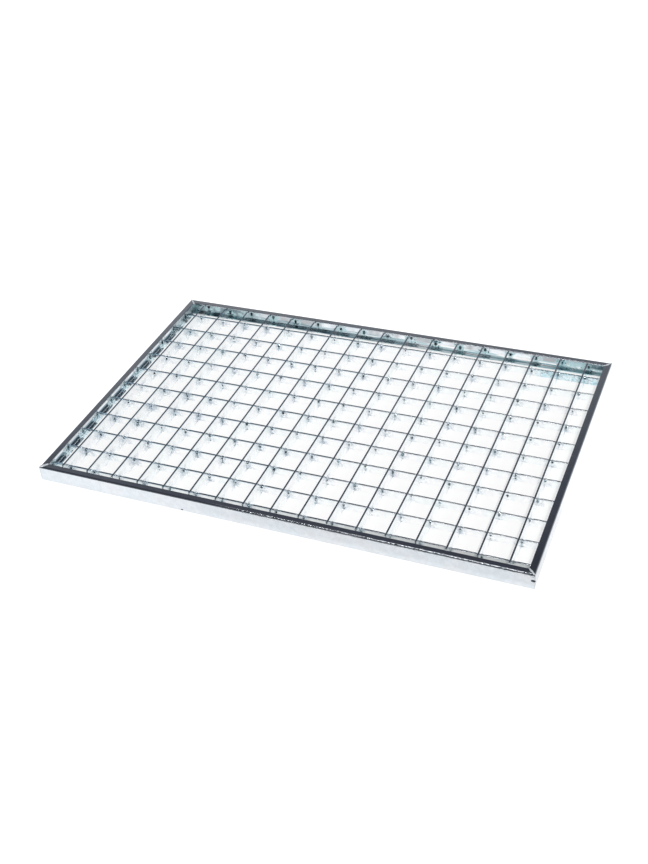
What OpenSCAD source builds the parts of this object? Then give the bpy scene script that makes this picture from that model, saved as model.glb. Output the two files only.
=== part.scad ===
// Steel grating panel for a floor or threshold recess: one grid of upright
// bearing bars and lower cross bars, edged by four mitred channel rails.
// Origin: middle of the underside. +X along the length, +Y along the width, +Z up.

/* [Panel] */
// Overall length, over the webs of the end rails
panel_l = 590; // [300:1:1200]
// Overall width, over the webs of the side rails
panel_w = 390; // [200:1:800]
// Overall height, underside to walking surface
panel_h = 20; // [18:1:30]

/* [Channel rails] */
// Width of each rail's top flange, from the outer face of its web
top_flange_w = 8.5; // [6:0.5:10]
// Width of each rail's bottom flange, from the outer face of its web
bottom_flange_w = 6; // [5:0.5:10]
// Thickness of the rail's folded sheet
sheet_t = 1.5; // [1:0.25:2]
// Inside radius of the rail's two folds
fold_inner_r = 1; // [0.5:0.25:1.5]

/* [Bearing bars] */
// Thickness of the upright bearing bars, which run along the width
bearing_t = 2; // [1:0.5:3]
// Spacing of the bearing bars, centre to centre
bearing_pitch = 33.4; // [25:0.1:50]
// Distance from the panel's left edge to the first bearing bar's centre
bearing_inset = 26.3; // [16:0.1:40]

/* [Cross bars] */
// Thickness of the cross bars, which run along the length
cross_t = 2; // [1:0.5:3]
// Height of the cross bars, up from the underside
cross_h = 10; // [7:1:14]
// Spacing of the cross bars, centre to centre
cross_pitch = 34.2; // [25:0.1:50]
// Distance from the panel's front edge to the first cross bar's centre
cross_inset = 23.9; // [16:0.1:40]

/* [Fits] */
// Least distance from the panel's right or back edge to the last bar's centre
edge_min = 18; // [15:1:30]
// Gap between a flange's free edge and the shoulder of the notch beside it
shoulder_gap = 2.5; // [1:0.5:5]
// Slack between a bearing bar's tongue and the top flange over it
tongue_slack = 0.5; // [0.25:0.25:1]
// Gap between a bar's end and the inside face of the rail's web
end_gap = 0.25; // [0.25:0.25:1]

/* [Hidden] */
$fn = 48;

// Outside radius of a rail's folds
fold_outer_r = fold_inner_r + sheet_t;
// Distance from the panel's edge to the end of a bar's tongue
end_inset = sheet_t + end_gap;
// Corner clipped off a tongue's end, so that it clears the inside of a fold
corner_clip = fold_inner_r;
// Distances from the panel's edge to the shoulders of a bar's two notches
top_shoulder_inset = top_flange_w + shoulder_gap;
bottom_shoulder_inset = bottom_flange_w + shoulder_gap;
// How many bars of each kind fit, and where the first one stands
bearing_count = floor((panel_l - bearing_inset - edge_min) / bearing_pitch) + 1;
cross_count = floor((panel_w - cross_inset - edge_min) / cross_pitch) + 1;
bearing_first = bearing_inset - panel_l / 2;
cross_first = cross_inset - panel_w / 2;
// Spare depth of a mitre's cutting outline beyond the wider flange
mitre_spare = 2;

// ---- Channel rails ----

// A quarter of one fold: the ring sector in the lower left corner
module fold_sector() {
    intersection() {
        difference() {
            circle(r = fold_outer_r);
            circle(r = fold_inner_r);
        }
        translate([-fold_outer_r, -fold_outer_r]) square(fold_outer_r);
    }
}

// Lower half of the channel's section: half of the web, the fold and a flange
module half_channel(flange_w) {
    translate([0, fold_outer_r]) square([sheet_t, panel_h / 2 - fold_outer_r]);
    translate([fold_outer_r, fold_outer_r]) fold_sector();
    translate([fold_outer_r, 0]) square([flange_w - fold_outer_r, sheet_t]);
}

// Section of a rail: web on the Y axis, both flanges pointing along +X
module channel_section() {
    half_channel(bottom_flange_w);
    translate([0, panel_h]) mirror([0, 1]) half_channel(top_flange_w);
}

// A rail of the given length along X, web outwards on -Y, both ends mitred
module rail(length) {
    depth = max(top_flange_w, bottom_flange_w) + mitre_spare;
    intersection() {
        translate([-length / 2, 0, 0])
            rotate([90, 0, 90])
                linear_extrude(length)
                    channel_section();
        linear_extrude(panel_h)
            polygon([
                [-length / 2, 0],
                [length / 2, 0],
                [length / 2 - depth, depth],
                [-length / 2 + depth, depth]
            ]);
    }
}

module rail_front() {
    color("silver") translate([0, -panel_w / 2, 0]) rail(panel_l);
}

module rail_back() {
    color("silver") rotate(180) translate([0, -panel_w / 2, 0]) rail(panel_l);
}

module rail_left() {
    color("silver") rotate(-90) translate([0, -panel_l / 2, 0]) rail(panel_w);
}

module rail_right() {
    color("silver") rotate(90) translate([0, -panel_l / 2, 0]) rail(panel_w);
}

// ---- Bar grid ----

// A flat bar on edge along X, its ends notched to tongues that enter the rails.
// span: panel size along the bar; top: height of the bar; tongue_top: of its ends
module notched_bar(span, thickness, top, tongue_top) {
    top_shoulder = span / 2 - top_shoulder_inset;
    bottom_shoulder = span / 2 - bottom_shoulder_inset;
    end = span / 2 - end_inset;
    right = [
        [bottom_shoulder, 0],
        [bottom_shoulder, sheet_t],
        [end - corner_clip, sheet_t],
        [end, sheet_t + corner_clip],
        [end, tongue_top - corner_clip],
        [end - corner_clip, tongue_top],
        [top_shoulder, tongue_top],
        [top_shoulder, top]
    ];
    left = [for (i = [len(right) - 1 : -1 : 0]) [-right[i].x, right[i].y]];
    rotate([90, 0, 0])
        translate([0, 0, -thickness / 2])
            linear_extrude(thickness)
                polygon(concat(right, left));
}

// One upright bearing bar, as high as the panel
module bearing_bar() {
    rotate(90) notched_bar(panel_w, bearing_t, panel_h, panel_h - sheet_t - tongue_slack);
}

// One cross bar, low enough to pass under the top flange without a notch there
module cross_bar() {
    notched_bar(panel_l, cross_t, cross_h, cross_h);
}

// All the bars, pressed and welded into one piece where they cross
module bar_grid() {
    color("lightsteelblue") union() {
        for (i = [0 : bearing_count - 1])
            translate([bearing_first + i * bearing_pitch, 0, 0]) bearing_bar();
        for (j = [0 : cross_count - 1])
            translate([0, cross_first + j * cross_pitch, 0]) cross_bar();
    }
}

bar_grid();
rail_front();
rail_back();
rail_left();
rail_right();
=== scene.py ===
"""Dresses the steel grating panel: folded rails, pressed bars, beads and bright zinc.

Every piece is a closed numpy surface in metres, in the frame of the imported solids. The bars'
places and the rails' section are read from the solids, so the dressed panel follows them.
"""

import logging
import math
from dataclasses import dataclass
from enum import Enum

import bpy
import numpy as np
from mathutils import Matrix, Vector


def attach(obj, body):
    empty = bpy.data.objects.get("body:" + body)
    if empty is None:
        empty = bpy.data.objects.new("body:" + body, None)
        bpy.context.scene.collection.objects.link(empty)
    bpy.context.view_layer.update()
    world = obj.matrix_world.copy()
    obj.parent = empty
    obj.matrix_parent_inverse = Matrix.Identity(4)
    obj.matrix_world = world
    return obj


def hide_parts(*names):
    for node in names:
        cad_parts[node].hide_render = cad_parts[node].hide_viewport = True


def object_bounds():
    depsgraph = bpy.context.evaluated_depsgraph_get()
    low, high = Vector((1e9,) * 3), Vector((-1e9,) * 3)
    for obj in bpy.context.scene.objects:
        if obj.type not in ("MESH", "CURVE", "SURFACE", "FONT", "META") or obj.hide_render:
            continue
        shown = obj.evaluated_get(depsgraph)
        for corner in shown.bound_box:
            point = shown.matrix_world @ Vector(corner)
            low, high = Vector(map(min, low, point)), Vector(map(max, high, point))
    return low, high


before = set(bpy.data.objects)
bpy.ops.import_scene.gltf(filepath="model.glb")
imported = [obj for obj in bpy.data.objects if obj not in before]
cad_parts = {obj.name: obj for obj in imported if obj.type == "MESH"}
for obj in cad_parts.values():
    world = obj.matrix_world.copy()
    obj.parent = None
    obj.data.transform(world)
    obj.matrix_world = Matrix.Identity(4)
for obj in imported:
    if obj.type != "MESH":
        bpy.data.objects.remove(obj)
CAD_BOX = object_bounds()

Array = np.ndarray
Pair = tuple[float, float]
Triple = tuple[float, float, float]

MM = 0.001
TOUCH = 0.02 * MM
WHITE = (1.0, 1.0, 1.0)
BODY = "root"
log = logging.getLogger("grating_panel")


# ---- Shader maths ----


class Value:
    """One output socket, on which Python's operators add Math nodes."""

    def __init__(self, graph: "Graph", socket: bpy.types.NodeSocket) -> None:
        """Keeps the socket and the graph that it belongs to."""
        self.graph = graph
        self.socket = socket

    def maths(self, operation: str, *operands: "Value | float") -> "Value":
        """Adds one Math node.

        Args:
            operation: The Math node's operation.
            operands: Its operands in order.

        Returns:
            The node's result.
        """
        return self.graph.node("ShaderNodeMath", {"operation": operation}, dict(enumerate(operands)))

    def __add__(self, other: "Value | float") -> "Value":
        """Gives self + other."""
        return self.maths("ADD", self, other)

    def __sub__(self, other: "Value | float") -> "Value":
        """Gives self - other."""
        return self.maths("SUBTRACT", self, other)

    def __rsub__(self, other: float) -> "Value":
        """Gives other - self."""
        return self.maths("SUBTRACT", other, self)

    def __mul__(self, other: "Value | float") -> "Value":
        """Gives self * other."""
        return self.maths("MULTIPLY", self, other)

    def __truediv__(self, other: "Value | float") -> "Value":
        """Gives self / other."""
        return self.maths("DIVIDE", self, other)

    __radd__ = __add__
    __rmul__ = __mul__

    def size(self) -> "Value":
        """Gives the value without its sign."""
        return self.maths("ABSOLUTE", self)

    def most(self, other: "Value | float") -> "Value":
        """Gives the larger of the two."""
        return self.maths("MAXIMUM", self, other)

    def ramp(self, low: float, high: float, to_low: float = 0.0, to_high: float = 1.0) -> "Value":
        """Turns low..high smoothly into to_low..to_high, and holds the ends.

        Args:
            low: The value that gives to_low.
            high: The value that gives to_high.
            to_low: The result at and below low.
            to_high: The result at and above high.

        Returns:
            The smoothed value.
        """
        settings = {"interpolation_type": "SMOOTHSTEP"}
        sockets = {0: self, 1: low, 2: high, 3: to_low, 4: to_high}
        return self.graph.node("ShaderNodeMapRange", settings, sockets)

    def away_from(self, first: float, pitch: float) -> "Value":
        """Gives the distance to the nearest of a row of places.

        The row is first + n * pitch: a ping-pong of the offset folds it onto 0..pitch / 2.

        Args:
            first: One place of the row.
            pitch: The row's spacing.

        Returns:
            The distance, from 0 to half the spacing.
        """
        return self.maths("PINGPONG", self - first, pitch / 2)

    def between(self, rising: Pair, falling: Pair) -> "Value":
        """Gives 1 after the rising edge and before the falling one, smoothly."""
        return self.ramp(*rising) * self.ramp(*falling)

    def lifted(self, floor: float) -> "Value":
        """Squeezes 0..1 into floor..1."""
        return floor + (1.0 - floor) * self


class Graph:
    """Makes the nodes of one material or world."""

    def __init__(self, owner: "bpy.types.Material | bpy.types.World") -> None:
        """Empties the owner's node tree and keeps it."""
        owner.use_nodes = True
        self.tree = owner.node_tree
        self.tree.nodes.clear()

    def node(
        self, kind: str, settings: dict | None = None, sockets: dict | None = None, out: int | str = 0
    ) -> Value | None:
        """Adds a node.

        Args:
            kind: The node's type.
            settings: Its properties, set first; "stops" fills a colour ramp.
            sockets: Its inputs by name or number, each a number, a tuple or a Value to link.
            out: The output to give back.

        Returns:
            The chosen output, or None where the node has none.
        """
        made = self.tree.nodes.new(kind)
        for key, setting in (settings or {}).items():
            if key == "stops":
                self.fill_ramp(made, setting)
            else:
                setattr(made, key, setting)
        for key, value in (sockets or {}).items():
            if isinstance(value, Value):
                self.tree.links.new(value.socket, made.inputs[key])
            else:
                made.inputs[key].default_value = value
        return Value(self, made.outputs[out]) if made.outputs else None

    @staticmethod
    def fill_ramp(made: bpy.types.Node, stops: tuple) -> None:
        """Sets a colour ramp's stops, each a position and a linear colour."""
        elements = made.color_ramp.elements
        while len(elements) < len(stops):
            elements.new(0.5)
        for element, (place, colour) in zip(elements, stops):
            element.position = place
            element.color = (*colour, 1.0)

    def blend(self, factor: Value, a: Value | Triple, b: Value | Triple, how: str = "MIX") -> Value:
        """Mixes two colours.

        Args:
            factor: How much of b shows.
            a: A linear colour or a colour output.
            b: A linear colour or a colour output.
            how: The Mix node's blend type.

        Returns:
            The mixed colour.
        """
        colours = {6: a, 7: b}
        sockets = {k: c if isinstance(c, Value) else (*c, 1.0) for k, c in colours.items()}
        settings = {"data_type": "RGBA", "blend_type": how}
        return self.node("ShaderNodeMix", settings, {0: factor, **sockets}, 2)

    def scaled(self, colour: Value, factor: Value) -> Value:
        """Gives a colour times a number."""
        return self.node("ShaderNodeVectorMath", {"operation": "SCALE"}, {0: colour, "Scale": factor})

    def coordinates(self, kind: str) -> Value:
        """Gives the coordinates of that kind."""
        return self.node("ShaderNodeTexCoord", out=kind)

    def axes(self, vector: Value) -> tuple[Value, Value, Value]:
        """Splits a vector into its x, y and z."""
        parts = self.node("ShaderNodeSeparateXYZ", None, {0: vector})
        outputs = parts.socket.node.outputs
        return parts, Value(self, outputs[1]), Value(self, outputs[2])

    def joined(self, x: Value, y: Value, z: Value) -> Value:
        """Joins three numbers into a vector or a colour."""
        return self.node("ShaderNodeCombineXYZ", None, {0: x, 1: y, 2: z})

    def noise(self, vector: Value, size: float, detail: float = 2.0, rough: float = 0.5) -> Value:
        """Gives smooth noise of 0..1.

        Args:
            vector: Where it is read.
            size: The size of its patches in metres.
            detail: How many finer layers it has.
            rough: How strong the finer layers are.

        Returns:
            The noise.
        """
        sockets = {"Vector": vector, "Scale": 1.0 / size, "Detail": detail, "Roughness": rough}
        return self.node("ShaderNodeTexNoise", None, sockets)

    def surface(self, sockets: dict) -> None:
        """Makes a Principled shader with those inputs the material's surface."""
        shader = self.node("ShaderNodeBsdfPrincipled", None, sockets)
        self.node("ShaderNodeOutputMaterial", None, {"Surface": shader})


# ---- Finishes ----


@dataclass(frozen=True)
class Patches:
    """A noise of patches of one size, with the band of it that counts and what that becomes."""

    size: float
    detail: float = 2.0
    rough: float = 0.5
    band: Pair = (0.38, 0.62)
    levels: Pair = (0.0, 1.0)

    def at(self, place: Value) -> Value:
        """Gives the noise at a place, its band turned smoothly into the levels."""
        return place.graph.noise(place, self.size, self.detail, self.rough).ramp(*self.band, *self.levels)


@dataclass(frozen=True)
class Site:
    """What a finish is worked out from: its graph, the bars' places and Object coordinates."""

    graph: Graph
    layout: "BarLayout"
    place: Value
    x: Value
    y: Value
    z: Value

    @classmethod
    def open(cls, graph: Graph, layout: "BarLayout") -> "Site":
        """Reads Object coordinates into a graph."""
        place = graph.coordinates("Object")
        return cls(graph, layout, place, *graph.axes(place))


def new_material(name: str) -> tuple[bpy.types.Material, Graph]:
    """Gives a new material and its empty graph."""
    material = bpy.data.materials.new(name)
    return material, Graph(material)


@dataclass(frozen=True)
class ZincFinish:
    """Bright zinc plating with a thin passivation.

    The colour drifts between two tints, the gloss is mottled, and a fine relief bends the
    reflections.
    """

    name: str
    stain: Triple
    tint_a: Triple = (0.91, 0.945, 0.955)
    tint_b: Triple = (0.935, 0.945, 0.96)
    dark: Triple = (0.10, 0.16, 0.19)
    drift: Patches = Patches(38.0 * MM, 3.0, band=(0.36, 0.64))
    haze: Patches = Patches(7.0 * MM, 4.0, 0.6, (0.35, 0.65), (0.965, 1.035))
    gloss: Patches = Patches(2.6 * MM, 4.0, 0.6, (0.3, 0.75), (0.12, 0.24))
    grain: Triple = (3.0 * MM, 3.0, 0.55)
    relief: float = 0.010 * MM
    ragged_gain: float = 45.0
    dull: float = 0.42
    matte: float = 0.25

    def make(self, layout: "BarLayout") -> bpy.types.Material:
        """Builds the material.

        A stain turns the plating matte: it takes the stain's colour, loses its metallic shine
        and grows rough, and inside it lie dark scorched spots.

        Args:
            layout: The bars' places, around which the stains lie.

        Returns:
            The material, which reads Object coordinates.
        """
        material, graph = new_material(self.name)
        at = Site.open(graph, layout)
        stained, scorched = self.masks(at)
        plating = graph.blend(self.drift.at(at.place), self.tint_a, self.tint_b)
        plating = self.shade(at, graph.scaled(plating, self.haze.at(at.place)))
        colour = graph.blend(scorched, graph.blend(stained, plating, self.stain), self.dark)
        rough = self.gloss.at(at.place)
        rough = rough + (self.dull - rough) * stained
        metal = 1.0 - stained * (1.0 - scorched) * (1.0 - self.matte)
        height = graph.noise(at.place, *self.grain) * (self.ragged(at) * self.ragged_gain + 1.0)
        bump = graph.node("ShaderNodeBump", None, {"Distance": self.relief, "Height": height})
        graph.surface({"Base Color": colour, "Metallic": metal, "Roughness": rough, "Normal": bump})
        return material

    def masks(self, at: Site) -> tuple[Value, Value]:
        """Gives the shares of stain and of scorch, each 0 to 1."""
        raise NotImplementedError

    def shade(self, at: Site, plating: Value) -> Value:
        """Gives the plating's colour with its darker and lighter places."""
        raise NotImplementedError

    def ragged(self, at: Site) -> Value | float:
        """Gives the share of ragged relief, which is none unless a finish says otherwise."""
        return 0.0


@dataclass(frozen=True)
class BarZinc(ZincFinish):
    """The bars' zinc: dulled at the crossings, with painted shade and light, and a tinted back right
    corner.
    """

    stain: Triple = (0.60, 0.70, 0.79)
    share: float = 0.74
    reach: float = 13.0 * MM
    core: float = 1.5 * MM
    lean: float = 2.5 * MM
    rise: Pair = (15.0 * MM, 11.0 * MM)
    wide: Patches = Patches(17.0 * MM, 1.0, levels=(0.3, 1.0))
    broken: Patches = Patches(3.4 * MM, 3.0, levels=(0.1, 1.0))
    blots: Patches = Patches(2.2 * MM, band=(0.52, 0.62))
    scorch: Pair = (5.5 * MM, 2.5 * MM)
    worn_x: Pair = (-0.12, -0.27)
    worn_reach: float = 5.0 * MM
    rim: float = 20.0 * MM
    # painted shade: a darker band just under the bar's top edge, weaker towards the right
    rim_shade_depth: float = 0.7 * MM
    rim_shade_edge: float = 0.2 * MM
    rim_shade_tint: Triple = (0.45, 0.55, 0.62)
    rim_shade_x: Pair = (-0.15, 0.20)
    rim_shade_fade: float = 0.3
    foot: Pair = (2.0 * MM, 12.0 * MM)
    # painted floor reflection: the faces grow brighter towards the bottom
    foot_reflection_gain: float = 1.06
    corner_x: Pair = (0.200, 0.212)
    corner_y: Pair = (16.0 * MM, 8.0 * MM)
    # the back right corner's blue-green tint and dark spots: partly stain, partly painted shadow and
    # reflection
    corner_stain_and_shade_tint: Triple = (0.58, 0.80, 0.86)
    corner_scorch_and_shade: float = 0.7
    corner_break: Patches = Patches(4.0 * MM, 3.0, 0.5, (0.35, 0.65), (0.45, 1.0))

    def shade(self, at: Site, plating: Value) -> Value:
        """Paints shade under the top edge, a floor reflection on the foot, and a stain-and-shadow tint on
        one corner.
        """
        # painted shade under the bar's top edge, fading towards the right
        low = self.rim - self.rim_shade_depth
        rim = at.z.ramp(low - self.rim_shade_edge, low + self.rim_shade_edge)
        rim = rim * at.x.ramp(*self.rim_shade_x, 1.0, 1.0 - self.rim_shade_fade)
        # painted floor reflection on the bar's foot
        plating = at.graph.scaled(plating, at.z.ramp(*self.foot, self.foot_reflection_gain, 1.0))
        plating = at.graph.blend(rim, plating, self.rim_shade_tint, "MULTIPLY")
        # back right corner tint: partly stain, partly painted shadow and reflection
        corner = self.corner(at) * self.corner_break.at(at.place) * at.z.ramp(*self.rise)
        return at.graph.blend(corner, plating, self.corner_stain_and_shade_tint, "MULTIPLY")

    def corner(self, at: Site) -> Value:
        """Gives the share of the back right corner, which ends behind the last cross bar."""
        start, full = (at.layout.cross_y[-1] - before for before in self.corner_y)
        return at.x.ramp(*self.corner_x) * at.y.ramp(start, full)

    def masks(self, at: Site) -> tuple[Value, Value]:
        """Gives stains that fall away from the crossings and scorch close to them.

        The distance is the sum of those to the nearest bearing bar and to a line a little in
        front of the nearest cross bar. Noise breaks the stains up, and they reach further at
        the left. They stay under the bearing bars' upper edges. At the back right corner dark
        spots lie all over, partly scorch and partly painted shadow and reflection.

        Args:
            at: Where the finish is worked out.

        Returns:
            The shares of stain and of scorch.
        """
        near_x = at.x.away_from(at.layout.bearing_x[0], at.layout.bearing_pitch)
        near_y = at.y.away_from(at.layout.cross_y[0] - self.lean, at.layout.cross_pitch)
        near = near_x + near_y
        low = at.z.ramp(*self.rise)
        wide = self.wide.at(at.place)
        worn = at.x.ramp(*self.worn_x) * self.worn_reach
        stained = (near - worn).ramp(self.reach, self.core) * wide * self.share
        stained = stained * self.broken.at(at.place) * low
        # at the back right corner the dark spots are partly scorch, partly painted reflection
        scorched = near.ramp(*self.scorch).most(self.corner(at) * self.corner_scorch_and_shade)
        return stained, scorched * self.blots.at(at.place) * wide * low


@dataclass(frozen=True)
class RailZinc(ZincFinish):
    """A rail's zinc, with painted patches and blue-green reflection inside, stained where the bars' ends
    meet it.
    """

    tint_a: Triple = (0.635, 0.685, 0.725)
    tint_b: Triple = (0.665, 0.69, 0.725)
    gloss: Patches = Patches(2.6 * MM, 4.0, 0.6, (0.3, 0.75), (0.07, 0.15))
    relief: float = 0.014 * MM
    face: float = 0.195
    half_run: float = 0.295
    skin: Pair = (1.2 * MM, 1.4 * MM)
    ceiling: Pair = (18.9 * MM, 18.6 * MM)
    share: float = 0.95
    reach: float = 7.0 * MM
    stain_edge: float = 2.0 * MM
    scorch_spare: float = 1.0 * MM
    scorch_core: float = 3.0 * MM
    wander: Patches = Patches(6.0 * MM, 3.0, 0.5, (0.3, 0.7), (-4.0 * MM, 4.0 * MM))
    wide: Patches = Patches(26.0 * MM, 1.0, 0.5, (0.38, 0.6), (0.35, 1.0))
    blots: Patches = Patches(3.6 * MM, band=(0.57, 0.63))
    cloud: Patches = Patches(13.0 * MM, band=(0.40, 0.60))
    cloud_floor: float = 0.3
    # how dark the clouds at the rail's ends are
    dark_clouds: float = 0.75
    corner: Pair = (75.0 * MM, 57.0 * MM)
    # painted light and shade: broad brighter and darker patches inside the channel
    patch: Patches = Patches(34.0 * MM, levels=(0.66, 1.40))
    foot_rise: Pair = (8.8 * MM, 7.6 * MM)
    foot_turn: Pair = (-0.10, 0.10)

    def axes(self, at: Site) -> tuple[Value, Value]:
        """Gives the place along the rail and the one outwards across it."""
        raise NotImplementedError

    def near(self, at: Site) -> Value:
        """Gives the distance along the rail to the nearest joint's stain."""
        raise NotImplementedError

    def ends(self, at: Site, cloud: Value) -> tuple[Value, Value]:
        """Gives the shares of the stained ends and of their dark clouds."""
        raise NotImplementedError

    def feet(self, at: Site) -> tuple[Value, Value | Triple]:
        """Gives the painted reflection colours of the inside's lower part at the left and at the right.
        """
        raise NotImplementedError

    def depth(self, at: Site) -> Value:
        """Gives the depth under the web's outer face."""
        return self.face - self.axes(at)[1].size()

    def inside(self, at: Site) -> Value:
        """Gives 1 inside the channel: deeper than the skin and under the top flange."""
        return self.depth(at).ramp(*self.skin) * at.z.ramp(*self.ceiling)

    def far_corner(self, at: Site) -> Value:
        """Gives the share of the rail's right or back end."""
        return self.axes(at)[0].ramp(*(self.half_run - before for before in self.corner))

    def shade(self, at: Site, plating: Value) -> Value:
        """Paints broad patches of light and shade on the inner faces, and a blue-green reflection low
        down.
        """
        inside = self.inside(at)
        # painted light and shade on the channel's inner faces
        plating = at.graph.scaled(plating, 1.0 + (self.patch.at(at.place) - 1.0) * inside)
        # painted reflection: the lower inside takes a blue-green, darker at the left, paler at the right
        foot = at.graph.blend(at.x.ramp(*self.foot_turn), *self.feet(at))
        return at.graph.blend(inside * at.z.ramp(*self.foot_rise), plating, foot)

    def masks(self, at: Site) -> tuple[Value, Value]:
        """Gives stains on the channel's inside near the bars' ends and at the rail's ends.

        A joint's stain has a wandering edge and dark blots in it. The rail's ends are stained
        in clouds, with darker clouds between them.

        Args:
            at: Where the finish is worked out.

        Returns:
            The shares of stain and of scorch.
        """
        near = self.near(at) + self.wander.at(at.place)
        cloud = self.cloud.at(at.place)
        ends, dark_clouds = self.ends(at, cloud)
        inside = self.inside(at)
        joint = near.ramp(self.reach, self.reach - self.stain_edge) * self.wide.at(at.place)
        stained = joint.most(ends * cloud.lifted(self.cloud_floor)) * inside * self.share
        blots = near.ramp(self.reach + self.scorch_spare, self.scorch_core) * self.blots.at(at.place)
        return stained, blots.most(dark_clouds) * inside


@dataclass(frozen=True)
class LongRailZinc(RailZinc):
    """The zinc of the rails along the length: painted reflection streaks low down, dark clouds at both
    ends.
    """

    stain: Triple = (0.64, 0.88, 0.92)
    matte: float = 0.85
    left_run: Pair = (130.0 * MM, 65.0 * MM)
    right_run: Pair = (32.0 * MM, 20.0 * MM)
    right_rise: Pair = (5.0 * MM, 9.0 * MM)
    right_floor: float = 0.65
    # stretch of the painted reflection streaks, and painted reflection colours of the lower inside
    streak_stretch: float = 0.05
    streak: Patches = Patches(1.8 * MM, 2.0, 0.4, (0.42, 0.56))
    left_foot_reflection: tuple[Triple, Triple] = ((0.24, 0.33, 0.38), (0.60, 0.72, 0.76))
    right_foot_reflection: tuple[Triple, Triple] = ((0.50, 0.68, 0.73), WHITE)
    ragged_depth: Pair = (2.5 * MM, 1.9 * MM)
    ragged_rise: Pair = (17.0 * MM, 17.8 * MM)
    ragged_x: Pair = (-0.09, 0.0)
    ragged_y: Pair = (0.0, -0.05)

    def axes(self, at: Site) -> tuple[Value, Value]:
        """Gives x along the rail and y across it."""
        return at.x, at.y

    def near(self, at: Site) -> Value:
        """Gives the distance to the nearest bearing bar."""
        return at.x.away_from(at.layout.bearing_x[0], at.layout.bearing_pitch)

    def ends(self, at: Site, cloud: Value) -> tuple[Value, Value]:
        """Gives both ends, with dark clouds all over the left one and high up at the right one."""
        left = at.x.ramp(*(run - self.half_run for run in self.left_run))
        right = at.x.ramp(*(self.half_run - run for run in self.right_run)) * at.z.ramp(*self.right_rise)
        dark_clouds = (1.0 - cloud) * self.dark_clouds * left
        return self.far_corner(at).most(left), dark_clouds.most(right * cloud.lifted(self.right_floor))

    def feet(self, at: Site) -> tuple[Value, Value]:
        """Gives painted reflection colours, with streaks of painted reflection stretched along the rail.
        """
        # painted reflection streaks, stretched along the rail
        streak = self.streak.at(at.graph.joined(at.x * self.streak_stretch, at.y, at.z))
        return at.graph.blend(streak, *self.left_foot_reflection), at.graph.blend(streak, *self.right_foot_reflection)

    def ragged(self, at: Site) -> Value:
        """Gives the front rail's upper fold, from a little left of the middle to its right end."""
        fold = self.depth(at).ramp(*self.ragged_depth) * at.z.ramp(*self.ragged_rise)
        return fold * at.x.ramp(*self.ragged_x) * at.y.ramp(*self.ragged_y)


@dataclass(frozen=True)
class ShortRailZinc(RailZinc):
    """The zinc of the rails along the width, with broad blue-white joints."""

    stain: Triple = (0.85, 0.97, 1.0)
    matte: float = 0.30
    face: float = 0.295
    half_run: float = 0.195
    share: float = 1.0
    reach: float = 6.8 * MM
    lean: float = 3.0 * MM
    wide: Patches = Patches(26.0 * MM, 1.0, 0.5, (0.38, 0.6), (0.95, 1.0))
    blots: Patches = Patches(3.6 * MM, band=(0.66, 0.72))
    # painted light: broad brighter patches inside the channel
    patch: Patches = Patches(34.0 * MM, levels=(1.10, 1.45))
    # painted highlight along the lower fold, and painted reflection colours of the lower inside
    fold: tuple[Pair, Pair] = ((1.3 * MM, 1.6 * MM), (2.7 * MM, 2.3 * MM))
    left_foot_reflection: tuple[Triple, Triple] = ((0.25, 0.35, 0.41), (0.95, 0.98, 1.0))
    right_foot_reflection: Triple = (0.80, 0.95, 0.98)
    # painted shade on the rail's outside towards its front end
    front_shade_y: Pair = (-0.175, -0.14)
    front_shade_level: float = 0.86

    def axes(self, at: Site) -> tuple[Value, Value]:
        """Gives y along the rail and x across it."""
        return at.y, at.x

    def near(self, at: Site) -> Value:
        """Gives the distance to a line a little in front of the nearest cross bar."""
        return at.y.away_from(at.layout.cross_y[0] - self.lean, at.layout.cross_pitch)

    def ends(self, at: Site, cloud: Value) -> tuple[Value, Value]:
        """Gives the back end, with dark clouds between its stained clouds."""
        back = self.far_corner(at)
        return back, (1.0 - cloud) * self.dark_clouds * back

    def feet(self, at: Site) -> tuple[Value, Triple]:
        """Gives painted reflections: dark on the left foot with a highlight along its fold, pale on the
        right.
        """
        return at.graph.blend(at.z.between(*self.fold), *self.left_foot_reflection), self.right_foot_reflection

    def shade(self, at: Site, plating: Value) -> Value:
        """Paints shade on the outside near the front as well."""
        # painted shade on the outside near the front
        front = 1.0 - at.y.ramp(*self.front_shade_y, self.front_shade_level, 1.0)
        front = 1.0 - front * (1.0 - self.inside(at))
        return super().shade(at, at.graph.scaled(plating, front))


@dataclass(frozen=True)
class BeadFinish:
    """Scorched zinc of a weld or press bead, darker and duller than the bars."""

    name: str
    bright: Triple = (0.22, 0.31, 0.35)
    dark: Triple = (0.04, 0.075, 0.09)
    gloss: Pair = (0.25, 0.45)
    patch: float = 9.0 * MM
    metal: float = 1.0
    tint_band: Pair = (0.40, 0.60)
    gloss_band: Pair = (0.3, 0.7)

    def make(self) -> bpy.types.Material:
        """Builds the material, which reads Object coordinates."""
        material, graph = new_material(self.name)
        scorch = graph.noise(graph.coordinates("Object"), self.patch, 3.0)
        colour = graph.blend(scorch.ramp(*self.tint_band), self.bright, self.dark)
        rough = scorch.ramp(*self.gloss_band, *self.gloss)
        graph.surface({"Base Color": colour, "Metallic": self.metal, "Roughness": rough})
        return material


WELD_METAL = BeadFinish("weld_metal", (0.74, 0.78, 0.80), (0.50, 0.55, 0.58), (0.4, 0.55), 2.0 * MM, 0.3)
DARK_PITS = BeadFinish("dark_pits", (0.035, 0.05, 0.06), (0.02, 0.028, 0.035), (0.5, 0.7), 2.0 * MM, 0.0)


# ---- Meshes ----


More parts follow.
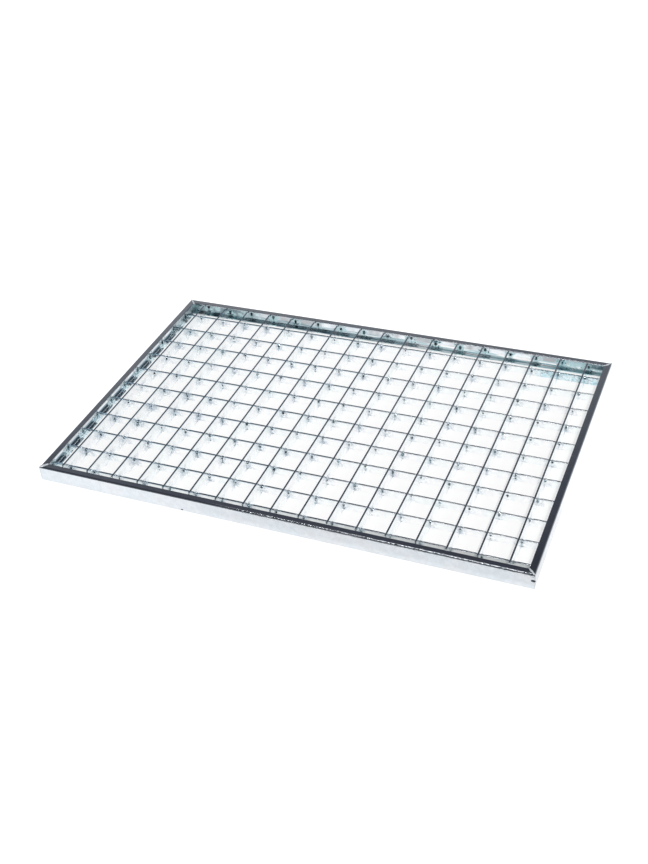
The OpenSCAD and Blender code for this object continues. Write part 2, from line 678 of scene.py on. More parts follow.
def loft(rings: Array) -> tuple[Array, Array]:
    """Joins rows of closed outlines into closed shells.

    Point j of one outline is joined to point j of the next, and an end is closed by quads that
    join point j to its partner across the outline, n - 1 - j. The signed volume, a sixth of the
    sum of the corners' triple products, says whether the faces have to be turned outwards.

    Args:
        rings: Points of shape (shells, stations, n, 3), with n even.

    Returns:
        The points as (count, 3) and the quads as (count, 4).
    """
    shells, stations, n, _ = rings.shape
    index = np.arange(stations * n).reshape(stations, n)
    here = index[:-1]
    ahead = index[1:]
    sides = np.stack([here, np.roll(here, -1, 1), np.roll(ahead, -1, 1), ahead], -1).reshape(-1, 4)
    j = np.arange(n // 2 - 1)
    strip = np.stack([j, j + 1, n - 2 - j, n - 1 - j], -1)
    quads = np.concatenate([sides, index[0][strip[:, ::-1]], index[-1][strip]])
    points = rings.reshape(-1, 3)
    a, b, c, d = (points[quads[:, k]] for k in range(4))
    volume = np.einsum("ij,ij->i", a, np.cross(b, c) + np.cross(c, d)).sum()
    if volume < 0:
        quads = quads[:, ::-1]
    starts = np.arange(shells) * stations * n
    return points, (quads[None] + starts[:, None, None]).reshape(-1, 4)


def rounded_bar(half_t: float, radius: float, steps: int, support: float) -> Array:
    """Gives a rounded rectangle's outline as corner choices and offsets.

    The outline is that of a rectangle of half thickness half_t whose corners are arcs of the
    given radius. A station's own low and high edges are filled in later, so each point is
    stored as (x, 0 or 1 for the low or high edge, its offset from that edge). Two support
    points beside each arc keep the flat faces' shading flat.

    Args:
        half_t: Half the bar's thickness.
        radius: The corners' radius.
        steps: Segments in each arc.
        support: How far the support points stand from the arcs.

    Returns:
        An array of shape (points, 3), running once round and even in number.
    """
    turn = np.linspace(0.0, math.pi / 2, steps + 1)
    arc = half_t - radius + radius * np.sin(turn)
    across = np.concatenate([[half_t - radius - support], arc, [half_t]])
    up = np.concatenate([[0.0], radius - radius * np.cos(turn), [radius + support]])
    quarter = np.stack([across, np.zeros_like(up), up], -1)
    right = np.concatenate([quarter, quarter[::-1] * [1, 1, -1] + [0, 1, 0]])
    left = right[::-1] * [-1, 1, 1]
    return np.concatenate([right, left])


def link(name: str, data: bpy.types.ID) -> bpy.types.Object:
    """Puts an object that shows the data into the scene."""
    made = bpy.data.objects.new(name, data)
    bpy.context.scene.collection.objects.link(made)
    return made


class Shell:
    """Gathers closed surfaces into one mesh piece."""

    def __init__(self, name: str) -> None:
        """Starts an empty piece of that name."""
        self.name = name
        self.points: list[Array] = []
        self.quads: list[Array] = []
        self.count = 0

    def add(self, rings: Array) -> None:
        """Lofts outlines of shape (shells, stations, n, 3) and keeps the result."""
        points, quads = loft(rings)
        self.points.append(points)
        self.quads.append(quads + self.count)
        self.count += len(points)

    def finish(
        self, material: bpy.types.Material, slot: str, replaces: tuple[str, ...] = (), sharp: float = 50.0
    ) -> bpy.types.Object:
        """Makes the piece and hides any CAD nodes that it stands for.

        Args:
            material: Its finish.
            slot: Not used.
            replaces: The CAD nodes that it stands for.
            sharp: Edges that bend by more than this many degrees stay sharp.

        Returns:
            The object, at the origin.
        """
        points = np.concatenate(self.points)
        quads = np.concatenate(self.quads)
        mesh = bpy.data.meshes.new(self.name)
        mesh.vertices.add(len(points))
        mesh.vertices.foreach_set("co", points.astype(np.float32).ravel())
        mesh.loops.add(quads.size)
        mesh.loops.foreach_set("vertex_index", quads.astype(np.int32).ravel())
        mesh.polygons.add(len(quads))
        mesh.polygons.foreach_set("loop_start", np.arange(0, quads.size, 4, dtype=np.int32))
        mesh.polygons.foreach_set("use_smooth", np.ones(len(quads), dtype=bool))
        mesh.update(calc_edges=True)
        mesh.set_sharp_from_angle(angle=math.radians(sharp))
        mesh.materials.append(material)
        piece = link(self.name, mesh)
        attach(piece, BODY)
        if replaces:
            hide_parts(*replaces)
        log.info("%s: %d quads", self.name, len(quads))
        return piece


def node_points(name: str) -> Array:
    """Reads a CAD node's points in metres."""
    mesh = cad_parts[name].data
    flat = np.empty(len(mesh.vertices) * 3, dtype=np.float32)
    mesh.vertices.foreach_get("co", flat)
    return flat.reshape(-1, 3).astype(float)


def distinct(values: Array, gap: float = 0.05 * MM) -> Array:
    """Gives the sorted values that stand more than a gap apart."""
    ordered = np.sort(values)
    return ordered[np.concatenate([[True], np.diff(ordered) > gap])]


@dataclass(frozen=True)
class BarLayout:
    """Where the solid grid's bars stand, read from its node."""

    bearing_x: Array
    cross_y: Array
    bearing_t: float
    cross_t: float
    height: float
    cross_h: float
    bearing_end: float
    cross_end: float
    top_shoulder: float
    bearing_shoulder: float
    cross_shoulder: float
    tongue: Pair
    clip: float

    @classmethod
    def read(cls, name: str) -> "BarLayout":
        """Reads the bars from the points at the grid's four reaches.

        The faces at the low y end are the bearing bars' tongues and those at the low x end the
        cross bars'. Their edges, sorted, come in pairs, one pair for each bar. A tongue's whole
        depth shows in the points a little further in, past its clipped corners, and the
        shoulders are the reaches of the highest and of the lowest points.

        Args:
            name: The grid's node.

        Returns:
            The layout in metres.
        """
        points = node_points(name)
        tongue_zone = 3.0 * MM
        low = points.min(0)
        high = points.max(0)
        bearing = points[points[:, 1] < low[1] + TOUCH]
        cross = points[points[:, 0] < low[0] + TOUCH]
        bearing_tongues = points[points[:, 1] < low[1] + tongue_zone]
        cross_tongues = points[points[:, 0] < low[0] + tongue_zone]
        x_pairs = distinct(bearing[:, 0]).reshape(-1, 2)
        y_pairs = distinct(cross[:, 1]).reshape(-1, 2)
        top = points[points[:, 2] > high[2] - TOUCH]
        base = points[points[:, 2] < low[2] + TOUCH]
        tongue = (float(bearing_tongues[:, 2].min()), float(bearing_tongues[:, 2].max()))
        return cls(
            bearing_x=x_pairs.mean(1),
            cross_y=y_pairs.mean(1),
            bearing_t=float(np.ptp(x_pairs[0])),
            cross_t=float(np.ptp(y_pairs[0])),
            height=float(high[2]),
            cross_h=float(cross_tongues[:, 2].max()),
            bearing_end=float(high[1]),
            cross_end=float(high[0]),
            top_shoulder=float(top[:, 1].max()),
            bearing_shoulder=float(base[:, 1].max()),
            cross_shoulder=float(base[:, 0].max()),
            tongue=tongue,
            clip=float(bearing[:, 2].min()) - tongue[0],
        )

    @property
    def bearing_pitch(self) -> float:
        """The bearing bars' spacing."""
        return float(self.bearing_x[1] - self.bearing_x[0])

    @property
    def cross_pitch(self) -> float:
        """The cross bars' spacing."""
        return float(self.cross_y[1] - self.cross_y[0])


@dataclass(frozen=True)
class NotchedEdge:
    """The upper or lower edge of a bar whose ends are notched and clipped.

    The edge is at full up to the shoulder, steps to the tongue over a short ramp, and is cut
    back at the very end by the clip.
    """

    end: float
    shoulder: float
    full: float
    tongue: float
    cut: float
    ease: float = 0.25 * MM

    @property
    def places(self) -> tuple[float, ...]:
        """Where the edge bends, from the middle outwards."""
        return (self.shoulder, self.shoulder + self.ease, self.end - abs(self.cut), self.end)

    def heights(self, along: Array) -> Array:
        """Gives the edge's height at places along the bar, straight between the bends."""
        levels = (self.full, self.tongue, self.tongue, self.tongue + self.cut)
        return np.interp(np.abs(along), self.places, levels)


# ---- Sub-assemblies ----


@dataclass(frozen=True)
class Ball:
    """The form of a bead: a ball with flattened top and bottom.

    Its rings' radius is the sine of the angle from the pole, and their height the cosine
    raised to the power flat, with its sign kept.
    """

    stations: int
    around: int
    flat: float
    pole_gap: float = 0.04

    def rings(self, centre: Array, size: Array) -> Array:
        """Puts balls at the centres.

        Args:
            centre: Their centres, (count, 3).
            size: Their half sizes, (count, 3).

        Returns:
            Rings of shape (count, stations, around, 3).
        """
        pole = np.linspace(self.pole_gap, 1.0 - self.pole_gap, self.stations) * math.pi
        turn = np.linspace(0.0, 2 * math.pi, self.around, endpoint=False)
        height = np.sign(np.cos(pole)) * np.abs(np.cos(pole)) ** self.flat
        unit = np.stack([
            np.sin(pole)[:, None] * np.cos(turn),
            np.sin(pole)[:, None] * np.sin(turn),
            np.broadcast_to(height[:, None], (self.stations, self.around)),
        ], -1)
        return centre[:, None, None] + unit[None] * size[:, None, None]


PRESS_BALL = Ball(7, 10, 0.6)
WELD_BALL = Ball(9, 12, 0.8)
LIP_BALL = Ball(9, 14, 0.9)
MARK_BALL = Ball(9, 14, 0.7)


@dataclass(frozen=True)
class LipBead:
    """One kind of bead under the front rail's lip.

    It stands behind the lip's free edge by its depth and under the top by its drop. Its half
    sizes are in millimetres.
    """

    name: str
    depth: float
    drop: float
    size: Triple
    bars: tuple[int, ...] = (2, 6, 10, 12, 14, 16)


DARK_LIP_BEAD = LipBead("lip_welds_dark", 0.4 * MM, 2.6 * MM, (2.6, 1.7, 1.7))
BRIGHT_LIP_BEAD = LipBead("lip_welds_bright", 0.5 * MM, 1.0 * MM, (1.8, 1.4, 1.0))


@dataclass
class BarGrid:
    """The pressed grid: upright bearing bars with the lower cross bars pressed into them.

    The sizes of beads and welds are half sizes in millimetres, scaled by random shares.
    """

    layout: BarLayout
    seed: int = 7
    edge_radius: float = 0.28 * MM
    edge_steps: int = 3
    support: float = 0.06 * MM
    bow: float = 0.12 * MM
    lean: float = 0.004
    bearing_steps: tuple[float, ...] = (4.0,)
    cross_steps: tuple[float, ...] = (1.0, 1.7, 2.4, 3.2, 4.0, 5.0, 7.0)
    dip: float = 0.9 * MM
    dip_share: Pair = (0.35, 1.0)
    dip_reach: float = 1.3 * MM
    dip_offset: float = 3.0 * MM
    swell: float = 0.35 * MM
    swell_reach: float = 0.9 * MM
    swell_offset: float = 1.4 * MM
    bead: Triple = (1.1, 1.2, 1.3)
    bead_share: Pair = (0.55, 1.0)
    bead_rise: Pair = (3.6, 7.0)
    bead_gap: float = 0.3 * MM
    front_share: Pair = (0.8, 1.5)
    front_rise: Pair = (6.0, 8.4)
    weld: Triple = (1.5, 1.0, 2.6)
    weld_share: Pair = (0.6, 1.0)
    weld_rise: Pair = (0.45, 0.68)
    weld_gap: Pair = (0.5 * MM, 0.2 * MM)
    lip_share: Pair = (0.8, 1.05)
    lip_shift: Pair = (-0.5, 0.5)

    def __post_init__(self) -> None:
        """Starts the seeded random numbers."""
        self.random = np.random.default_rng(self.seed)

    def stations(self, edges: tuple[NotchedEdge, ...], places: Array, steps: tuple[float, ...]) -> Array:
        """Gives the places of a bar's outlines.

        They stand where the edges bend, midway between the crossings, and closer around each
        crossing.

        Args:
            edges: The bar's edges.
            places: The crossings along it.
            steps: How far the closer outlines stand from a crossing, in millimetres.

        Returns:
            The sorted places.
        """
        bends = np.concatenate([edge.places for edge in edges])
        near = np.concatenate([-np.array(steps), [0.0], steps]) * MM
        close = (places[:, None] + near[None]).ravel()
        between = (places[:-1] + places[1:]) / 2
        return distinct(np.concatenate([bends, -bends, close, between]), 0.01 * MM)

    def outline_rings(self, along: Array, low: Array, high: Array, half_t: Array) -> Array:
        """Carries the rounded outline along a bar.

        Each outline point keeps its corner offset from the station's low or high edge, and its
        place across is scaled by the station's half thickness.

        Args:
            along: The stations.
            low: The lower edge at each.
            high: The upper edge at each.
            half_t: Half the thickness at each.

        Returns:
            Points (stations, n, 3) as across, along, up.
        """
        unit_half = 1.0 * MM
        unit = rounded_bar(unit_half, self.edge_radius, self.edge_steps, self.support)
        across = unit[None, :, 0] * (half_t[:, None] / unit_half)
        edge = np.where(unit[None, :, 1] > 0.5, high[:, None], low[:, None])
        up = edge + unit[None, :, 2]
        return np.stack([across, np.broadcast_to(along[:, None], up.shape), up], -1)

    def sway(self, along: Array, reach: float) -> Array:
        """Gives a bar's slight sideways bow: three seeded sine waves that vanish at its ends."""
        waves = np.arange(1, 4)
        size = self.random.normal(0.0, self.bow, 3) / waves
        turn = (along[:, None] / reach + 1) * math.pi / 2
        return (np.sin(turn * waves) * size).sum(1)

    def bearing_bars(self) -> Shell:
        """Makes the bearing bars, each a rounded strip on edge with notched ends."""
        lay = self.layout
        foot, top = lay.tongue
        lower = NotchedEdge(lay.bearing_end, lay.bearing_shoulder, 0.0, foot, lay.clip)
        upper = NotchedEdge(lay.bearing_end, lay.top_shoulder, lay.height, top, -lay.clip)
        along = self.stations((lower, upper), lay.cross_y, self.bearing_steps)
        half = np.full(len(along), lay.bearing_t / 2)
        shell = Shell("bearing_bars")
        for x in lay.bearing_x:
            rings = self.outline_rings(along, lower.heights(along), upper.heights(along), half)
            lean = self.random.normal(0.0, self.lean)
            rings[..., 0] += x + self.sway(along, lay.bearing_end)[:, None]
            rings[..., 0] += lean * (rings[..., 2] - lay.height / 2)
            shell.add(rings[None])
        return shell

    def cross_bars(self) -> Shell:
        """Makes the cross bars, which swell and dip where they were pressed in.

        Beside each crossing the half thickness grows by a bell of the distance, and the upper
        edge sinks by two bells, one on each side of the bearing bar.
        """
        lay = self.layout
        foot = lay.tongue[0]
        lower = NotchedEdge(lay.cross_end, lay.cross_shoulder, 0.0, foot, lay.clip)
        upper = NotchedEdge(lay.cross_end, lay.cross_shoulder, lay.cross_h, lay.cross_h, -lay.clip)
        along = self.stations((lower, upper), lay.bearing_x, self.cross_steps)
        offset = along[:, None] - lay.bearing_x[None]
        shell = Shell("cross_bars")
        for y in lay.cross_y:
            depth = self.random.uniform(*self.dip_share, (2, len(lay.bearing_x))) * self.dip
            sides = np.array([-1.0, 1.0]) * self.dip_offset
            bells = [d * np.exp(-(((offset - s) / self.dip_reach) ** 2)) for s, d in zip(sides, depth)]
            sink = np.sum(bells, axis=(0, 2))
            bell = np.exp(-(((np.abs(offset) - self.swell_offset) / self.swell_reach) ** 2))
            grow = bell.sum(1) * self.swell
            high = upper.heights(along) - sink
            rings = self.outline_rings(along, lower.heights(along), high, lay.cross_t / 2 + grow)
            rings[..., 0] += self.sway(along, lay.cross_end)[:, None] + y
            shell.add(rings[None][..., [1, 0, 2]])
        return shell

    def press_beads(self) -> Shell:
        """Makes the beads of metal squeezed out at the corners of each crossing.

        Those between the bearing bar's right face and the cross bar's front face stand higher
        and are the largest.
        """
        lay = self.layout
        x, y = np.meshgrid(lay.bearing_x, lay.cross_y, indexing="ij")
        count = x.size
        shell = Shell("press_beads")
        for side_x in (-1, 1):
            for side_y in (-1, 1):
                size = self.random.uniform(*self.bead_share, (count, 3)) * np.array(self.bead) * MM
                height = self.random.uniform(*self.bead_rise, count) * MM
                if side_x > 0 and side_y < 0:
                    size *= self.random.uniform(*self.front_share, (count, 1))
                    height = self.random.uniform(*self.front_rise, count) * MM
                centre = np.stack([
                    x.ravel() + side_x * (lay.bearing_t / 2 + self.bead_gap),
                    y.ravel() + side_y * (lay.cross_t / 2 + self.bead_gap),
                    height,
                ], -1)
                shell.add(PRESS_BALL.rings(centre, size))
        return shell

    def end_welds(self) -> Shell:
        """Makes the small welds that hold the tongues to the rails' webs, one on each side."""
        lay = self.layout
        shell = Shell("end_welds")
        beside, before = self.weld_gap
        rows = (
            (lay.bearing_x, lay.bearing_t, lay.bearing_end, lay.tongue[1], (0, 1)),
            (lay.cross_y, lay.cross_t, lay.cross_end, lay.cross_h, (1, 0)),
        )
        for places, thick, end, high, order in rows:
            for far in (-1, 1):
                for side in (-1, 1):
                    count = len(places)
                    size = self.random.uniform(*self.weld_share, (count, 3)) * np.array(self.weld) * MM
                    across = places + side * (thick / 2 + beside)
                    along = np.full(count, far * (end - before))
                    up = self.random.uniform(*self.weld_rise, count) * high
                    centre = np.stack([across, along, up], -1)
                    shell.add(WELD_BALL.rings(centre, size)[..., [*order, 2]])
        return shell

    def lip_welds(self, edge: float, bead: LipBead) -> Shell:
        """Makes the beads of one kind under the front rail's lip.

        Args:
            edge: The lip's free edge, as a distance from the middle.
            bead: Which kind.

        Returns:
            The beads.
        """
        count = len(bead.bars)
        x = self.layout.bearing_x[list(bead.bars)] + self.random.uniform(*self.lip_shift, count) * MM
        back = np.full(count, bead.depth - edge)
        up = np.full(count, self.layout.height - bead.drop)
        sizes = self.random.uniform(*self.lip_share, (count, 3)) * np.array(bead.size) * MM
        shell = Shell(bead.name)
        shell.add(LIP_BALL.rings(np.stack([x, back, up], -1), sizes))
        return shell


def front_marks(rail: "FoldedRail") -> Shell:
    """Makes the dark marks on the front rail's web: a slot at the right corner and a speck.

    Each is a flat ball that stands a little proud of the web.

    Args:
        rail: The front rail.

    Returns:
        The marks.
    """
    sizes_at = {(0.2930, 0.0120): (2.5, 0.4, 1.5), (-0.1074, 0.0027): (1.5, 0.15, 0.75)}
    centre = np.array([[x, -rail.reach, z] for x, z in sizes_at])
    shell = Shell("front_marks")
    shell.add(MARK_BALL.rings(centre, np.array(list(sizes_at.values())) * MM))
    return shell


@dataclass
class CornerWelds:
    """The welds of the frame's mitred corners: one along the top and one down the outside.

    The front left corner's top weld is wider and higher, and a pale drop of weld metal, put
    there as a painted highlight, hangs at the inside of the back left corner.
    """

    length: float
    width: float
    height: float
    lip: float
    half_width: float = 1.1 * MM
    rise: float = 0.28 * MM
    swell: Pair = (0.75, 1.2)
    tip_inset: float = 0.6 * MM
    edge_inset: float = 0.35 * MM
    edge_rise: Pair = (0.8 * MM, 1.2 * MM)
    edge_share: Pair = (0.6, 1.1)
    front_left: float = 1.7
    drop: Triple = (1.5 * MM, 1.3 * MM, 1.1 * MM)
    highlight_drop_shift: Pair = (0.6 * MM, 1.2 * MM)
    around: int = 12
    stations: int = 26

    def seam(self, start: Array, end: Array, side: Array, out: Array, size: Array) -> Array:
        """Sweeps a low oval bead between two points.

        Each ring is an oval of half width along side and half height along out. Both shrink
        to nothing at the ends as a fourth-power curve and swell by the seeded sizes between.

        Args:
            start: The seam's first point.
            end: Its last point.
            side: The unit direction across the seam.
            out: The unit direction out of the metal.
            size: One swelling factor for each station.

        Returns:
            Rings of shape (stations, around, 3).
        """
        share = np.linspace(0.0, 1.0, self.stations)
        turn = np.linspace(0.0, 2 * math.pi, self.around, endpoint=False)
        taper = np.maximum(1.0 - (2 * share - 1) ** 4, 0.02) ** 0.5 * size
        middle = start + share[:, None] * (end - start)
        across = np.cos(turn)[None, :, None] * side * self.half_width
        upwards = np.sin(turn)[None, :, None] * out * self.rise
        return middle[:, None] + (across + upwards) * taper[:, None, None]

    def build(self, random: np.random.Generator) -> Shell:
        """Makes both welds of the four corners, and the pale drop, a painted highlight."""
        shell = Shell("corner_welds")
        half = np.array([self.length / 2, self.width / 2])
        foot, under = self.edge_rise
        narrow, deep = self.edge_share
        for sx in (-1, 1):
            for sy in (-1, 1):
                sign = np.array([sx, sy])
                tip = np.append(sign * (half - self.tip_inset), self.height)
                inner = np.append(sign * (half - self.lip), self.height)
                across = np.array([sx, -sy, 0.0]) / math.sqrt(2)
                swell = random.uniform(*self.swell, (2, self.stations))
                wide = self.front_left if (sx, sy) == (-1, -1) else 1.0
                up = np.array([0.0, 0.0, wide])
                shell.add(self.seam(tip, inner, across * wide, up, swell[0])[None])
                edge = sign * (half - self.edge_inset)
                low = np.append(edge, foot)
                high = np.append(edge, self.height - under)
                outward = np.array([sx, sy, 0.0]) / math.sqrt(2)
                shell.add(self.seam(low, high, across * narrow, outward * deep, swell[1])[None])
        inward, down = self.highlight_drop_shift
        # pale drop of weld metal placed as a painted highlight
        drop = np.array([[self.lip - half[0], half[1] - self.lip - inward, self.height - down]])
        shell.add(WELD_BALL.rings(drop, np.array([self.drop])))
        return shell


class Side(Enum):
    """A rail's place round the panel, with the turns that bring the front rail there."""

    FRONT = 0
    RIGHT = 1
    BACK = 2
    LEFT = 3


@dataclass
class FoldedRail:
    """One channel rail, folded from sheet, with mitred ends and softened free edges."""

    side: Side
    length: float
    reach: float
    height: float
    top_flange: float
    bottom_flange: float
    sheet: float
    fold: float
    arc_steps: int = 10
    edge_steps: int = 3
    edge_radius: float = 0.35 * MM
    support: float = 0.15 * MM
    wave: float = 0.05 * MM
    wave_shares: Pair = (1.0, 2.0)
    wave_counts: tuple[int, int] = (3, 7)
    stations: int = 90
    sharp: float = 40.0

    @classmethod
    def read(cls, side: Side) -> "FoldedRail":
        """Reads a rail's sizes from its node.

        The flanges are as wide as the highest and the lowest points reach inwards. The top
        flange's free edge gives the sheet's thickness, and the first flat point of the top the
        fold's outer radius.

        Args:
            side: Which rail.

        Returns:
            The rail, with sizes in metres.
        """
        points = node_points(f"rail_{side.name.lower()}")
        turn = side.value * math.pi / 2
        back = np.array([[math.cos(turn), math.sin(turn)], [-math.sin(turn), math.cos(turn)]])
        points[:, :2] = points[:, :2] @ back.T
        low = points.min(0)
        high = points.max(0)
        upper = points[points[:, 2] > high[2] / 2]
        top = points[points[:, 2] > high[2] - TOUCH]
        base = points[points[:, 2] < low[2] + TOUCH]
        edge = upper[upper[:, 1] > top[:, 1].max() - TOUCH]
        return cls(
            side=side,
            length=float(high[0] - low[0]),
            reach=float(-low[1]),
            height=float(high[2]),
            top_flange=float(top[:, 1].max() - low[1]),
            bottom_flange=float(base[:, 1].max() - low[1]),
            sheet=float(np.ptp(edge[:, 2])),
            fold=float(top[:, 1].min() - low[1]),
        )

    def half_section(self, flange: float) -> tuple[Array, Array]:
        """Gives the upper half of a channel's section as paired outer and inner points.

        From the web's middle the pairs run up the web, round the fold as two arcs about one
        centre, and along the flange. At the free edge both close in on each other by a
        quarter circle, which softens the edge.

        Args:
            flange: The flange's width over the outside.

        Returns:
            The outer and the inner points, (pairs, 2) as inward and up.
        """
        turn = np.linspace(0.0, math.pi / 2, self.arc_steps + 1)
        centre = np.array([self.fold, self.height - self.fold])
        rise = np.array([self.height / 2, self.height - self.fold - self.support])
        swing = np.stack([-np.cos(turn), np.sin(turn)], -1)
        ease = np.linspace(0.0, math.pi / 2, self.edge_steps + 1)
        run = flange - self.edge_radius + self.edge_radius * np.sin(ease)
        along = np.concatenate([[self.fold + self.support, run[0] - self.support], run])
        close = np.concatenate([[0.0, 0.0], self.edge_radius * (1 - np.cos(ease))])
        outer, inner = (
            np.concatenate([
                np.stack([np.full(2, skin), rise], -1),
                centre + (self.fold - skin) * swing,
                np.stack([along, self.height - skin + sign * close], -1),
            ])
            for skin, sign in ((0.0, -1), (self.sheet, 1))
        )
        return outer, inner

    def section(self) -> Array:
        """Gives the whole section's outline, whose point j pairs with point n - 1 - j."""
        upper = self.half_section(self.top_flange)
        lower = self.half_section(self.bottom_flange)
        flip = np.array([1.0, -1.0])
        lift = np.array([0.0, self.height])
        halves = zip(lower, upper)
        outer, inner = (np.concatenate([(low * flip + lift)[:0:-1], high]) for low, high in halves)
        return np.concatenate([outer, inner[::-1]])

    def build(self, material: bpy.types.Material, random: np.random.Generator) -> bpy.types.Object:
        """Sweeps the section between the mitres and turns it to its side.

        A point at depth u runs between plus and minus (length / 2 - u), so both ends are cut at
        45 degrees. Two seeded sine waves ripple the sheet and vanish at the corners.

        Args:
            material: The rail's finish.
            random: Seeded random numbers.

        Returns:
            The rail's piece.
        """
        section = self.section()
        share = np.linspace(-1.0, 1.0, self.stations)
        half = self.length / 2 - section[:, 0]
        x = share[:, None] * half[None]
        waves = np.array(self.wave_counts)
        size = random.normal(0.0, self.wave, 2) / np.array(self.wave_shares)
        phase = random.uniform(0, 2 * math.pi, 2)
        ripple = (np.sin(share[:, None] * waves * math.pi / 2 + phase) * size).sum(1)
        ripple *= np.cos(share * math.pi / 2) ** 0.5
        inward = np.broadcast_to(section[None, :, 0], x.shape) + ripple[:, None]
        freedom = section[:, 0] / self.top_flange * (section[:, 1] - self.height / 2) / self.height
        up = section[None, :, 1] + ripple[:, None] * freedom[None]
        turn = self.side.value * math.pi / 2
        y = inward - self.reach
        rings = np.stack([
            x * math.cos(turn) - y * math.sin(turn),
            x * math.sin(turn) + y * math.cos(turn),
            up,
        ], -1)
        shell = Shell(f"{self.side.name.lower()}_rail")
        shell.add(rings[None])
        return shell.finish(material, "zinc_rails", (f"rail_{self.side.name.lower()}",), self.sharp)


# ---- Studio ----


@dataclass(frozen=True)
class Sun:
    """A soft distant light: its width in degrees, its strength and how it is turned."""

    name: str
    width: float
    power: float
    tilt: Triple

    def hang(self) -> None:
        """Adds the light to the scene."""
        data = bpy.data.lights.new(self.name, "SUN")
        data.angle = math.radians(self.width)
        data.energy = self.power
        link(self.name, data).rotation_euler = self.tilt


SUNS = (Sun("softbox", 14.0, 0.40, (-0.26, -0.165, 0.0)), Sun("lamp", 3.0, 2.4, (0.1, 0.36, 0.0)))
WALLS = (
    (0.0, (0.46, 0.47, 0.50)),
    (0.26, (0.30, 0.305, 0.33)),
    (0.50, (0.27, 0.275, 0.295)),
    (0.588, (0.13, 0.135, 0.155)),
    (0.643, (0.075, 0.08, 0.10)),
    (0.707, (0.050, 0.054, 0.070)),
    (1.0, (0.045, 0.048, 0.060)),
)


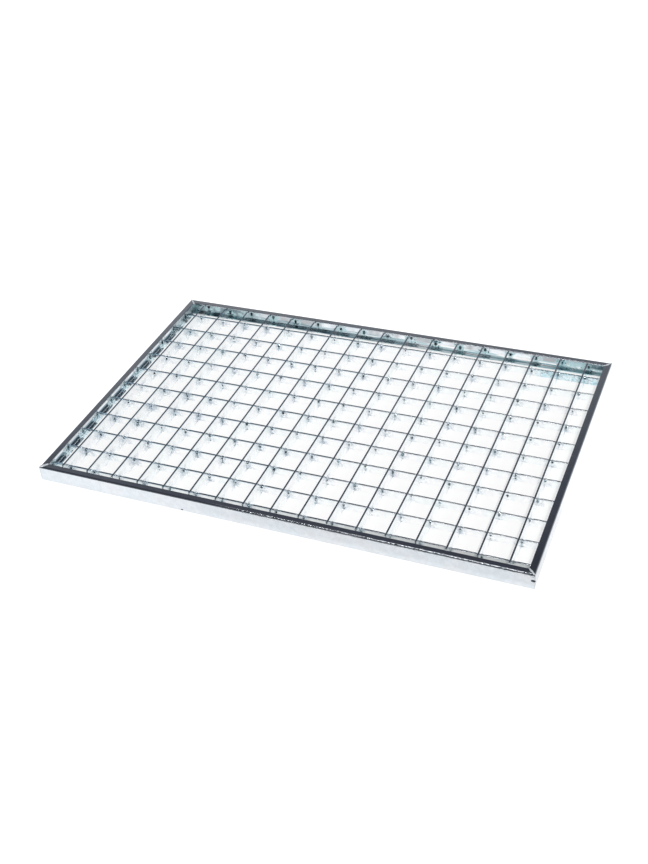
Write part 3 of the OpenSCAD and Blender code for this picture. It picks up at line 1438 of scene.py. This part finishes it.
@dataclass
class Studio:
    """The pale floor, the soft lights, the dim surroundings and the camera."""

    target: Triple = (2.69 * MM, -37.26 * MM, 20.0 * MM)
    distance: float = 1362.8 * MM
    heading: float = 25.50
    elevation: float = 37.38
    roll: float = -5.51
    lens: float = 48.10
    sensor: float = 36.0
    clip: Pair = (0.05, 60.0)
    floor_half: float = 12.0
    floor_albedo: Triple = (0.25, 0.25, 0.25)
    floor_glow: float = 1.03
    floor_dim: Pair = (0.19, 0.14)
    dim_x: Pair = (-0.20, 0.0)
    dim_y: Pair = (-0.03, -0.09)
    halo: Pair = (9.0 * MM, 3.0 * MM)
    halo_end: float = 1.0 * MM
    under_x: Pair = (-0.28, -0.10)
    under_glow: Pair = (0.665, 0.705)
    under_edge: float = -3.0 * MM
    lip_x: Pair = (-0.20, 0.27)
    lip_y: Pair = (-0.164, -0.174)
    lip_dim: Pair = (0.10, 0.42)
    front_wall: Pair = (-0.15, -0.40)
    night_rise: Pair = (0.40, 0.30)
    night_tint: Triple = (0.05, 0.055, 0.065)
    patch_side: tuple[Pair, Pair] = ((0.0, 0.10), (0.62, 0.46))
    patch_rise: tuple[Pair, Pair] = ((0.38, 0.46), (0.70, 0.60))
    patch_tint: Triple = (0.56, 0.60, 0.62)

    def build(self) -> None:
        """Makes the camera, the floor, the lights and the world."""
        self.camera()
        self.floor()
        for sun in SUNS:
            sun.hang()
        self.world()
        bpy.context.scene.view_settings.view_transform = "Standard"

    def camera(self) -> None:
        """Places the camera by heading, elevation and distance, then rolls it."""
        data = bpy.data.cameras.new("camera")
        data.lens = self.lens
        data.sensor_width = self.sensor
        data.clip_start, data.clip_end = self.clip
        heading = math.radians(self.heading)
        elevation = math.radians(self.elevation)
        forward = Vector((
            -math.sin(heading) * math.cos(elevation),
            math.cos(heading) * math.cos(elevation),
            -math.sin(elevation),
        ))
        level = forward.to_track_quat("-Z", "Y").to_matrix().to_4x4()
        place = Matrix.Translation(Vector(self.target) - forward * self.distance)
        camera = link("camera", data)
        camera.matrix_world = place @ level @ Matrix.Rotation(math.radians(self.roll), 4, "Z")
        bpy.context.scene.camera = camera

    def floor(self) -> None:
        """Lays a wide pale floor under the panel, lit evenly from below like a light table.

        It glows less under the panel as painted shade, least of all in a painted shadow behind
        the front rail's lip, and a little less at the front right, but for a painted halo round the
        panel.
        """
        mesh = bpy.data.meshes.new("floor")
        h = self.floor_half
        corners = [(-h, -h, 0.0), (h, -h, 0.0), (h, h, 0.0), (-h, h, 0.0)]
        mesh.from_pydata(corners, [], [(0, 1, 2, 3)])
        material, graph = new_material("pale_floor")
        x, y, _ = graph.axes(graph.coordinates("Object"))
        right, back = CAD_BOX[1][:2]
        outside = (x.size() - right).most(y.size() - back)
        # painted light: a brighter halo of floor close round the panel
        halo = outside.ramp(*self.halo) * x.ramp(right + self.halo_end, right)
        dim, lift = self.floor_dim
        # painted shade: the floor dimmer at the front right
        outer = self.floor_glow - x.ramp(*self.dim_x) * y.ramp(*self.dim_y) * (dim - halo * lift)
        # painted shadow of the front rail's lip on the floor
        lip_shade = y.ramp(*self.lip_y) * x.ramp(*self.lip_x, *self.lip_dim)
        inner = x.ramp(*self.under_x, *self.under_glow) - lip_shade
        glow = inner + (outer - inner) * outside.ramp(self.under_edge, 0.0)
        graph.surface({
            "Base Color": (*self.floor_albedo, 1.0),
            "Roughness": 0.9,
            "Specular IOR Level": 0.1,
            "Emission Color": graph.joined(glow, glow, glow),
            "Emission Strength": 1.0,
        })
        mesh.materials.append(material)
        floor = link("floor", mesh)

    def world(self) -> None:
        """Surrounds the panel with dim walls under a dark ceiling.

        The glow is a ramp of the direction's height. In front the walls are dark near the
        horizon and glow in a patch over it, and the camera itself sees a plain pale backdrop.
        """
        world = bpy.data.worlds.new("studio")
        bpy.context.scene.world = world
        graph = Graph(world)
        x, y, z = graph.axes(graph.coordinates("Generated"))
        glow = graph.node("ShaderNodeValToRGB", {"stops": WALLS}, {0: z})
        front = y.ramp(*self.front_wall)
        night = front * z.ramp(*self.night_rise)
        patch = front * (x / y).between(*self.patch_side) * z.between(*self.patch_rise)
        glow = graph.blend(night, glow, self.night_tint)
        glow = graph.blend(patch, glow, self.patch_tint)
        seen = graph.node("ShaderNodeLightPath", out="Is Camera Ray")
        shown = graph.blend(seen, glow, WHITE)
        light = graph.node("ShaderNodeBackground", None, {"Color": shown, "Strength": 1.0})
        graph.node("ShaderNodeOutputWorld", None, {"Surface": light})


def main() -> None:
    """Builds the panel's pieces in order, then the studio."""
    logging.basicConfig(level=logging.INFO, format="%(name)s %(message)s")
    layout = BarLayout.read("bar_grid")
    log.info("%d bearing bars, %d cross bars", len(layout.bearing_x), len(layout.cross_y))
    upper_zinc = BarZinc("zinc_bearing_bars", rim=layout.height)
    lower_zinc = BarZinc("zinc_cross_bars", rim=layout.cross_h, rim_shade_depth=1.0 * MM, rim_shade_fade=0.75)
    beads = BeadFinish("scorched_zinc").make()
    weld = WELD_METAL.make()
    grid = BarGrid(layout)
    grid.bearing_bars().finish(upper_zinc.make(layout), "zinc_bars", ("bar_grid",))
    grid.cross_bars().finish(lower_zinc.make(layout), "zinc_bars")
    grid.press_beads().finish(beads, "zinc_bars")
    grid.end_welds().finish(beads, "zinc_bars")
    random = np.random.default_rng(11)
    long_zinc = LongRailZinc("zinc_long_rails").make(layout)
    short_zinc = ShortRailZinc("zinc_short_rails").make(layout)
    rails = {side: FoldedRail.read(side) for side in Side}
    for side, rail in rails.items():
        rail.build(long_zinc if side in (Side.FRONT, Side.BACK) else short_zinc, random)
    front = rails[Side.FRONT]
    for bead, finish in ((DARK_LIP_BEAD, beads), (BRIGHT_LIP_BEAD, weld)):
        grid.lip_welds(front.reach - front.top_flange, bead).finish(finish, "zinc_rails")
    front_marks(front).finish(DARK_PITS.make(), "zinc_rails")
    corners = CornerWelds(front.length, 2 * front.reach, front.height, front.top_flange)
    corners.build(random).finish(weld, "zinc_rails")
    Studio().build()


if __name__ == "__main__":
    main()
